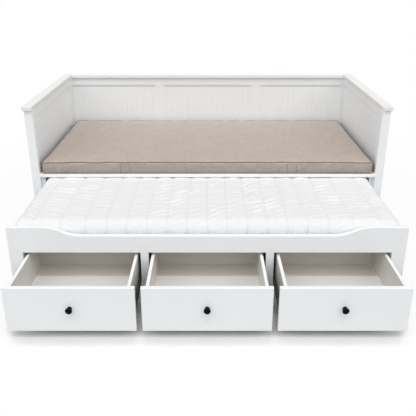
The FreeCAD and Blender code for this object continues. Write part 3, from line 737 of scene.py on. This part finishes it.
class DAYBED_OT_upper_mattress(bpy.types.Operator):
    """Make the canvas covered mattress of the fixed bed, with its piping and handle bands"""
    bl_idname = "daybed.upper_mattress"
    bl_label = "Upper mattress"

    def execute(self, context):
        shell, points, low, high = upper_shape()
        piece = new_object("upper_mattress_cover", points, shell.faces)
        loops = {"foot": shell.edge_loop(0), "top": shell.edge_loop(shell.last[2])}
        base = np.flatnonzero(shell.points[:, 2] <= low[2] + HAIR)
        held = sorted(set(loops["foot"]) | set(loops["top"]) | set(base))
        swell(piece, held, limit=sizes().swell, shrink=-0.01)
        refine(piece)
        fine = places_of(piece.data)
        fine[:, 2] += upper_relief(fine, low, high)
        away = fine[:, 1] - (low[1] + high[1]) / 2
        wall = soft_step(np.abs(away), *WALL_SPAN)
        fine[:, 1] += np.sign(away) * wall * wall_relief(fine, low, high)
        foot = wall * (away < 0) * (1 - soft_step(fine[:, 2], low[2], low[2] + LIFT_REACH))
        fine[:, 2] += humps(fine[:, 0], LIFTED_PLACES) * foot
        set_places(piece.data, fine)
        seat(piece, "frame", "beige_canvas", "upper_mattress")
        self.add_wall_shade(piece, fine[loops["top"]][:, 2].min())
        radius = sizes().piping / 2
        # Painted shade: the piping takes a far darker copy of the canvas, standing in for the shadow line
        # under the cord
        piping_shade_canvas = woven_canvas("piping_canvas_painted_shade", 0.45)
        for place, loop in loops.items():
            path = places_of(piece.data)[loop]
            away = path - path.mean(0)
            rim = np.abs(away) > np.abs(away).max(0) - 30 * MM
            path += np.sign(away) * rim * np.array((1, 1, 0)) * 0.3 * radius
            piping = ring_tube(f"upper_mattress_{place}_piping", path, radius)
            seat(piping, "frame", "beige_canvas", material=piping_shade_canvas)
        self.add_bands(piece, low, high)
        return {"FINISHED"}

    def add_wall_shade(self, cover, height):
        """The wall panels of the cover, in a darker copy of the same canvas: painted shade for the weaker
        light on the walls.
        """
        cover.data.materials.append(woven_canvas("wall_shade_canvas", 0.78))
        for face in cover.data.polygons:
            if abs(face.normal.z) < 0.75 and face.center.z < height:
                face.material_index = 1

    def add_bands(self, cover, low, high):
        """Sewn bands up the front of the cover that join its handles to it."""
        skin = BVHTree.FromPolygons([vertex.co for vertex in cover.data.vertices],
                                    [face.vertices[:] for face in cover.data.polygons])
        in_front = low[1] - 100 * MM
        columns, rows = 7, 12
        points, faces, seams = [], [], []
        for place in BAND_PLACES:
            first = len(points)
            for height in np.linspace(low[2] + BAND_ENDS[0], high[2] - BAND_ENDS[1], rows):
                for column in range(columns):
                    x = place + (column / (columns - 1) - 0.5) * BAND_WIDTH
                    hit = skin.ray_cast(Vector((x, in_front, height)), Vector((0, 1, 0)))[0]
                    lift = BAND_EDGE_LIFT if column in (0, columns - 1) else BAND_LIFT
                    points.append((x, hit.y - lift, height))
            for row in range(rows - 1):
                for column in range(columns - 1):
                    corner = first + row * columns + column
                    faces.append([corner, corner + 1, corner + columns + 1, corner + columns])
            seams += [points[first::columns], points[first + columns - 1::columns]]
        band = new_object("upper_mattress_handle_bands", points, faces)
        # The bands take the same painted wall shade
        seat(band, "frame", "beige_canvas", material=cover.data.materials[1])
        thread = stitches("handle_band_stitching", seams, pitch=5 * MM, length=3.6 * MM,
                          radius=1.3 * MM)
        dark_thread = sewing_thread("canvas_thread", colours().canvas, 0.2)
        seat(thread, "frame", "beige_canvas", material=dark_thread)


# Lower mattress

# Quilting seams as shares of the way from the middle to an end, and the crease beside each seam
SEAM_SHARES = (0.104, 0.208, 0.312, 0.416, 0.52, 0.629, 0.755, 0.898)
SEAM_CREASE = 3 * MM
# Room inside the CAD solid along X and at the front, rear and foot, for the cover to swell
SIDE_ROOM = 2.5 * MM
FRONT_ROOM = 4 * MM
REAR_ROOM = 2 * MM
FOOT_ROOM = 0.3 * MM
# How far the filling lifts the channels, and how far the top may stand over the CAD solid
LOWER_SWELL = 2 * MM
HEADROOM = 1 * MM
# Radii of the cover's edges along X, Y and Z, at its foot and at its top
LOWER_FOOT_RADII = (14 * MM, 16 * MM, 14 * MM)
LOWER_TOP_RADII = (30 * MM, 46 * MM, 40 * MM)
# How far in from the foot, top, front and rear of the cover its channels start to rise and have risen
FOOT_RISE = 30 * MM
TOP_RISE = 20 * MM
FRONT_RISE = (-50 * MM, 120 * MM)
REAR_RISE = (-120 * MM, 100 * MM)
# The front wall leans in towards its foot, from one depth under the top to another, and bulges
# between the seams; both fade out over its reach
FRONT_TUCK = 6 * MM
TUCK_DEPTHS = (18 * MM, 75 * MM)
FRONT_BULGE = 2 * MM
FRONT_REACH = 100 * MM
# Puckers of the front wall, how far in it counts as wall, the height over its foot where they end,
# and the stretch below that over which they fade
WALL_PUCKERS = 1.1 * MM
WALL_REACH = 60 * MM
PUCKER_TOP = 90 * MM
PUCKER_FADE = 50 * MM
# Depths under the top between which the ripples of the top fade out
RIPPLE_FADE = (35 * MM, 4 * MM)


def seam_places(low, high):
    """Where the quilting seams lie along the mattress, wider apart towards its ends."""
    half = (high[0] - low[0]) / 2
    right = [share * half for share in SEAM_SHARES]
    return np.array([low[0]] + [-place for place in right[::-1]] + [0] + right + [high[0]])


def channel_of(places, seams):
    """The number of the channel at each place and how far it arches there, from 0 to 1."""
    number = np.clip(np.searchsorted(seams, places) - 1, 0, len(seams) - 2)
    share = np.clip((places - seams[number]) / np.diff(seams)[number], 0, 1)
    return number, 1 - np.abs(2 * share - 1) ** 2.4


def quilt_ripples(points, number, half):
    """Puckers of the knit between the seams, slanting most in the middle of the mattress."""
    random = np.random.default_rng(23)
    total = np.zeros(len(points))
    count = 5
    channels = int(number.max()) + 1
    for _ in range(count):
        heading = 12 + 27 * (1 - (points[:, 0] / half) ** 2) + random.uniform(-12, 12, channels)[number]
        turn = np.radians(heading)
        length = sizes().ripple_spacing * random.uniform(0.75, 1.3)
        across = np.cos(turn) * points[:, 1] - np.sin(turn) * points[:, 0]
        total += np.cos(2 * np.pi * (across / length + random.uniform(0, 1, channels)[number]))
    total /= math.sqrt(count / 2)
    pinched = total - 0.3 * total ** 2
    patches = 0.9 + 0.25 * waves(points, spacing=330 * MM, heading=40, spread=90, seed=41, count=5)
    return pinched * np.clip(patches, 0.5, 1.3)


def lower_shape():
    """The quilted cover before it swells: arched channels and a front wall that leans in."""
    low, high = (np.array(corner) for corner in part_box("lower_mattress"))
    rise = sizes().channel_rise
    low += np.array((SIDE_ROOM, FRONT_ROOM, FOOT_ROOM))
    high -= np.array((SIDE_ROOM, REAR_ROOM, 0.0))
    high[2] += HEADROOM - rise - LOWER_SWELL - sizes().ripple_height
    seams = seam_places(low, high)
    columns = []
    for start, stop in zip(seams, seams[1:]):
        inner = even(start + SEAM_CREASE, stop - SEAM_CREASE, sizes().mesh_step)
        columns += [start, start + SEAM_CREASE, *inner[1:-1], stop - SEAM_CREASE]
    columns.append(seams[-1])
    step = sizes().mesh_step
    wall_step = 9 * MM
    shell = Shell(columns, even(low[1], high[1], step), even(low[2], high[2], wall_step))
    points = rounded(shell.points, LOWER_FOOT_RADII, LOWER_TOP_RADII)
    arch = channel_of(points[:, 0], seams)[1]
    risen = soft_step(points[:, 2], low[2] + FOOT_RISE, high[2] - TOP_RISE)
    risen *= soft_step(points[:, 1] - low[1], *FRONT_RISE)
    risen *= soft_step(high[1] - points[:, 1], *REAR_RISE)
    points[:, 2] += rise * arch * risen
    tuck = soft_step(high[2] - points[:, 2], *TUCK_DEPTHS)
    front = 1 - soft_step(points[:, 1], low[1], low[1] + FRONT_REACH)
    points[:, 1] += (FRONT_TUCK * tuck - FRONT_BULGE * arch) * front
    return shell, points, seams, low, high


def lower_relief(points, seams, low, high):
    """How far the ripples of the top and the puckers of the front wall stand out."""
    number, arch = channel_of(points[:, 0], seams)
    level = soft_step(points[:, 2], high[2] - RIPPLE_FADE[0], high[2] - RIPPLE_FADE[1])
    ripples = quilt_ripples(points, number, high[0]) * arch ** 0.6 * level
    wall = (points[:, 1] < low[1] + WALL_REACH) * (1 - level)
    wall *= soft_step(low[2] + PUCKER_TOP - points[:, 2], 0, PUCKER_FADE)
    puckers = waves(points, spacing=28 * MM, heading=90, spread=12, seed=77, count=9) * wall
    return sizes().ripple_height * ripples + WALL_PUCKERS * puckers


class DAYBED_OT_lower_mattress(bpy.types.Operator):
    """Make the quilted mattress of the pull-out, with its channels and stitching"""
    bl_idname = "daybed.lower_mattress"
    bl_label = "Lower mattress"

    def execute(self, context):
        shell, points, seams, low, high = lower_shape()
        piece = new_object("lower_mattress_cover", points, shell.faces)
        paths = [shell.column(int(np.argmin(np.abs(shell.ticks[0] - place)))) for place in seams[1:-1]]
        base = np.flatnonzero(shell.points[:, 2] <= low[2] + HAIR)
        rear = np.flatnonzero(shell.points[:, 1] >= high[1] - HAIR)
        held = sorted(set(base) | set(rear) | {one for path in paths for one in path})
        swell(piece, held, limit=LOWER_SWELL, shrink=-0.012)
        refine(piece)
        emboss(piece, lower_relief(places_of(piece.data), seams, low, high))
        fine = places_of(piece.data)
        cad_low, cad_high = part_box("lower_mattress")
        fine[:, 2] = np.minimum(fine[:, 2], cad_high[2] + HEADROOM)
        fine[:, 1] = np.maximum(fine[:, 1], cad_low[1])
        set_places(piece.data, fine)
        seat(piece, "pull_out", "white_quilting", "lower_mattress")
        skin = places_of(piece.data)
        lines = [skin[path] for path in paths]
        thread = stitches("lower_mattress_stitching", lines, pitch=7 * MM, length=5 * MM,
                          radius=0.9 * MM)
        # Painted shade: the thread is greyed below the ticking so that the seams show as the dark lines of
        # their creases
        seam_shade_thread = sewing_thread("quilting_thread_seam_shade", colours().ticking, 0.78)
        seat(thread, "pull_out", "white_quilting", material=seam_shade_thread)
        return {"FINISHED"}


# Fittings

# Heights behind the drawer front and radii of the head and recess of a knob's screw, in millimetres
KNOB_SCREW = ((0.0, 4.6), (0.5, 4.6), (1.4, 3.9), (2.0, 2.6), (2.0, 1.6), (1.2, 1.3), (1.2, 0.4))
WHEEL_BORE = 3.2 * MM


def in_metres(profile):
    """A profile written in millimetres, in metres."""
    return [(height * MM, radius * MM) for height, radius in profile]


def knob_profile(reach, head):
    """Heights over the drawer front and radii of a turned knob, in millimetres."""
    foot, neck = 11.0, 7.5
    profile = [(0.0, foot), (2.2, foot)]
    profile += arc((2.2, foot - 0.8), radius=0.8, start=90, stop=20, count=4)
    profile += [(4.4, neck + 1.5), (6.0, neck + 0.3), (9.0, neck), (12.0, neck + 0.5)]
    profile += [(14.0, neck + 2.6), (15.6, head - 3.4), (17.2, head - 1.0), (19.2, head - 0.15),
                (20.4, head), (21.8, head - 0.4), (23.6, head - 2.0), (25.4, head - 4.8),
                (26.8, head - 8.2), (27.6, head - 11.6), (reach, 1.0)]
    return profile


def wheel_profile(half, radius):
    """Half widths and radii from the bore over the hub and the dished side to the tread and back."""
    rim = radius - 7 * MM
    side = [(half, WHEEL_BORE), (half, WHEEL_BORE + 4 * MM), (half - 3 * MM, WHEEL_BORE + 5.5 * MM),
            (half - 3.4 * MM, rim - 2 * MM), (half - 0.6 * MM, rim),
            (half - 0.2 * MM, radius - 3.4 * MM), (half - 1.4 * MM, radius - 1.2 * MM),
            (half - 3.6 * MM, radius - 0.2 * MM)]
    return [(-width, size) for width, size in side] + [(0.0, radius)] + side[::-1]


class DAYBED_OT_knobs(bpy.types.Operator):
    """Turn the three drawer knobs and the screws that hold them"""
    bl_idname = "daybed.knobs"
    bl_label = "Knobs"

    def execute(self, context):
        for drawer in DRAWERS:
            node = f"drawer_{drawer}_knob"
            low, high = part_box(node)
            centre = ((low.x + high.x) / 2, high.y, (low.z + high.z) / 2)
            profile = knob_profile((high.y - low.y) / MM, (high.x - low.x) / 2 / MM)
            knob = turned(f"{drawer}_knob", in_metres(profile), centre, (0, -1, 0))
            seat(knob, f"drawer_{drawer}", "black_knob", node)
            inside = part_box(f"drawer_{drawer}_front")[1].y
            place = (centre[0], inside, centre[2])
            screw = turned(f"{drawer}_knob_screw", in_metres(KNOB_SCREW), place, (0, 1, 0), sides=24)
            seat(screw, f"drawer_{drawer}", "steel")
        return {"FINISHED"}


class DAYBED_OT_castors(bpy.types.Operator):
    """Turn the four castor wheels with their tread, dished sides and hub"""
    bl_idname = "daybed.castors"
    bl_label = "Castor wheels"

    def execute(self, context):
        for place in WHEELS:
            node = f"castor_wheel_{place}"
            low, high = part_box(node)
            profile = wheel_profile((high.x - low.x) / 2, (high.z - low.z) / 2)
            wheel = turned(f"{place}_wheel", profile, (low + high) / 2, (1, 0, 0), sides=40)
            seat(wheel, node, "wheel_plastic", node)
        return {"FINISHED"}


class DAYBED_OT_finishes(bpy.types.Operator):
    """Give every rigid node its finish"""
    bl_idname = "daybed.finishes"
    bl_label = "Finishes"

    def execute(self, context):
        slots = node_slots()
        slots.update({f"drawer_{drawer}_{part}": "white_board" for drawer in DRAWERS
                      for part in ("sides", "back")})
        # End panels: painted shade on the walls of their grooves
        groove_shaded = enamel_with_groove_shade()
        # Side caps: a greyer, warmer copy of the paint, painted shade that darkens their tops
        caps = satin_enamel("cap_enamel_painted_shade", colours().cap)
        own = {"end_panel_left": groove_shaded, "end_panel_right": groove_shaded, "cap_left": caps,
               "cap_right": caps, "bead_mouldings": bead_enamel_with_painted_shade()}
        for name, node in frame["nodes"].items():
            node.data.materials.clear()
            node.data.materials.append(own.get(name) or finish_of(slots[name]))
        return {"FINISHED"}


# Stage

# Distant lamps: name, height over the horizon, turn from the front and width in degrees, strength
LAMPS = (
    ("high_key_light", 68, 0, 3, 0.68),
    ("left_front_light", 42, -40, 50, 0.85),
    ("right_front_light", 42, 40, 50, 0.85),
    ("left_side_light", 34, -80, 50, 0.42),
    ("right_side_light", 34, 80, 50, 0.42),
)
SKY_STRENGTH = 0.3
# Grey with which the floor throws light back at the object
FLOOR_SHADE = 0.55
# Shadow beside the object: how near things shade the floor, its darkest shade, where the openness
# of a place starts and stops to count, and the power that eases it out
SHADOW_REACH = 0.15
SHADOW_DEEPEST = 0.35
SHADOW_SPAN = (0.2, 0.77)
SHADOW_POWER = 6.0
# Shadow deep under the drawers: reach, darkest shade and span of openness
GAP_REACH = 0.3
GAP_DEEPEST = 0.05
GAP_SPAN = (0.08, 0.2)
# Share of the floor's brightness that doesn't depend on the lamps
SHADOW_GLOW = 0.8
# Half the width of the floor
FLOOR_REACH = 40.0
# Camera: place in metres, tilt downwards in degrees, lens in millimetres
CAMERA_PLACE = (0.0035, -3.09165, 1.5339)
CAMERA_TILT = 23.05
CAMERA_LENS = 49.22


def openness(tree, reach, span, deepest):
    """How open the floor is above each of its points, from the deepest shade to 1."""
    near = add(tree, "ShaderNodeAmbientOcclusion", {"Distance": reach}, samples=12)
    return add(tree, "ShaderNodeMapRange", {"From Min": span[0], "From Max": span[1], "To Min": deepest},
               {"Value": near.outputs["AO"]}).outputs["Result"]


def floor_material():
    """Matt white sweep of a studio, bright enough to pass as the backdrop."""
    # Pure white round the object, with only the object's own soft shadow on it
    material = bpy.data.materials.new("studio_sweep")
    material.use_nodes = True
    tree = material.node_tree
    tree.nodes.clear()
    output = add(tree, "ShaderNodeOutputMaterial")
    diffuse = add(tree, "ShaderNodeBsdfDiffuse", {"Color": opaque((FLOOR_SHADE,) * 3)})
    beside = openness(tree, SHADOW_REACH, SHADOW_SPAN, 0.0)
    eased = add(tree, "ShaderNodeMath", {1: SHADOW_POWER}, {0: beside}, operation="POWER")
    soft = add(tree, "ShaderNodeMapRange", {"To Min": SHADOW_DEEPEST}, {"Value": eased.outputs[0]})
    under = openness(tree, GAP_REACH, GAP_SPAN, GAP_DEEPEST)
    shade = add(tree, "ShaderNodeMath", links={0: soft.outputs["Result"], 1: under},
                operation="MULTIPLY")
    glow = add(tree, "ShaderNodeEmission", links={"Color": shade.outputs[0]})
    lit = add(tree, "ShaderNodeBsdfDiffuse", links={"Color": under})
    white = add(tree, "ShaderNodeMixShader", {"Fac": SHADOW_GLOW},
                {1: lit.outputs[0], 2: glow.outputs[0]})
    path = add(tree, "ShaderNodeLightPath")
    add(tree, "ShaderNodeMixShader", links={0: path.outputs["Is Camera Ray"], 1: diffuse.outputs[0],
                                            2: white.outputs[0]}, into=output.inputs["Surface"])
    return material


def studio_world():
    """Even pale sky that the camera and reflections see as white."""
    world = bpy.data.worlds.new("studio")
    world.use_nodes = True
    tree = world.node_tree
    tree.nodes.clear()
    path = add(tree, "ShaderNodeLightPath")
    seen = add(tree, "ShaderNodeMath", links={0: path.outputs["Is Camera Ray"],
                                              1: path.outputs["Is Glossy Ray"]}, operation="MAXIMUM")
    soft = add(tree, "ShaderNodeBackground", {"Color": (0.975, 0.988, 1.0, 1), "Strength": SKY_STRENGTH})
    white = add(tree, "ShaderNodeBackground", {"Color": (1, 1, 1, 1), "Strength": 1.0})
    mix = add(tree, "ShaderNodeMixShader", links={0: seen.outputs[0], 1: soft.outputs[0],
                                                  2: white.outputs[0]})
    add(tree, "ShaderNodeOutputWorld", links={"Surface": mix.outputs[0]})
    return world


def distant_lamp(name, height, turn, width, strength):
    """A lamp far away, from its height over the horizon and its turn from the front."""
    light = bpy.data.lights.new(name, "SUN")
    light.energy = strength
    light.angle = math.radians(width)
    level = math.cos(math.radians(height))
    way = Vector((level * math.sin(math.radians(turn)), -level * math.cos(math.radians(turn)),
                  math.sin(math.radians(height))))
    piece = bpy.data.objects.new(name, light)
    piece.rotation_mode = "QUATERNION"
    piece.rotation_quaternion = way.to_track_quat("Z", "Y")
    bpy.context.scene.collection.objects.link(piece)


class DAYBED_OT_stage(bpy.types.Operator):
    """Set the floor, the lamps, the sky and the camera"""
    bl_idname = "daybed.stage"
    bl_label = "Stage"

    def execute(self, context):
        scene = context.scene
        scene.view_settings.view_transform = "Standard"
        corners = [(x * FLOOR_REACH, y * FLOOR_REACH, 0) for x, y in ((-1, -1), (1, -1), (1, 1), (-1, 1))]
        floor = new_object("floor", corners, [(0, 1, 2, 3)], smooth=False)
        floor.data.materials.append(floor_material())
        scene.world = studio_world()
        for lamp in LAMPS:
            distant_lamp(*lamp)
        camera = bpy.data.objects.new("camera", bpy.data.cameras.new("camera"))
        camera.data.lens = CAMERA_LENS
        camera.location = CAMERA_PLACE
        camera.rotation_euler = (math.radians(90 - CAMERA_TILT), 0, 0)
        camera.data.clip_end = 100
        scene.collection.objects.link(camera)
        scene.camera = camera
        return {"FINISHED"}


class DAYBED_PT_panel(bpy.types.Panel):
    """Lists the steps that dress the daybed"""
    bl_idname = "DAYBED_PT_panel"
    bl_label = "Daybed"
    bl_space_type = "VIEW_3D"
    bl_region_type = "UI"
    bl_category = "Daybed"

    def draw(self, context):
        for group in (context.scene.daybed_colours, context.scene.daybed_sizes):
            for name in group.__annotations__:
                self.layout.prop(group, name)
        for step in STEPS:
            self.layout.operator(step.bl_idname)


STEPS = (DAYBED_OT_finishes, DAYBED_OT_upper_mattress, DAYBED_OT_lower_mattress, DAYBED_OT_knobs,
         DAYBED_OT_castors, DAYBED_OT_stage)
CLASSES = (DaybedColours, DaybedSizes, *STEPS, DAYBED_PT_panel)


def register():
    """Register the settings, the steps and the panel."""
    for kind in CLASSES:
        bpy.utils.register_class(kind)
    bpy.types.Scene.daybed_colours = PointerProperty(type=DaybedColours)
    bpy.types.Scene.daybed_sizes = PointerProperty(type=DaybedSizes)


def unregister():
    """Take the settings, the steps and the panel away again."""
    del bpy.types.Scene.daybed_sizes
    del bpy.types.Scene.daybed_colours
    for kind in reversed(CLASSES):
        bpy.utils.unregister_class(kind)


def main():
    """Dress the daybed."""
    register()
    for step in STEPS:
        group, name = step.bl_idname.split(".")
        getattr(getattr(bpy.ops, group), name)()


if __name__ == "__main__":
    main()
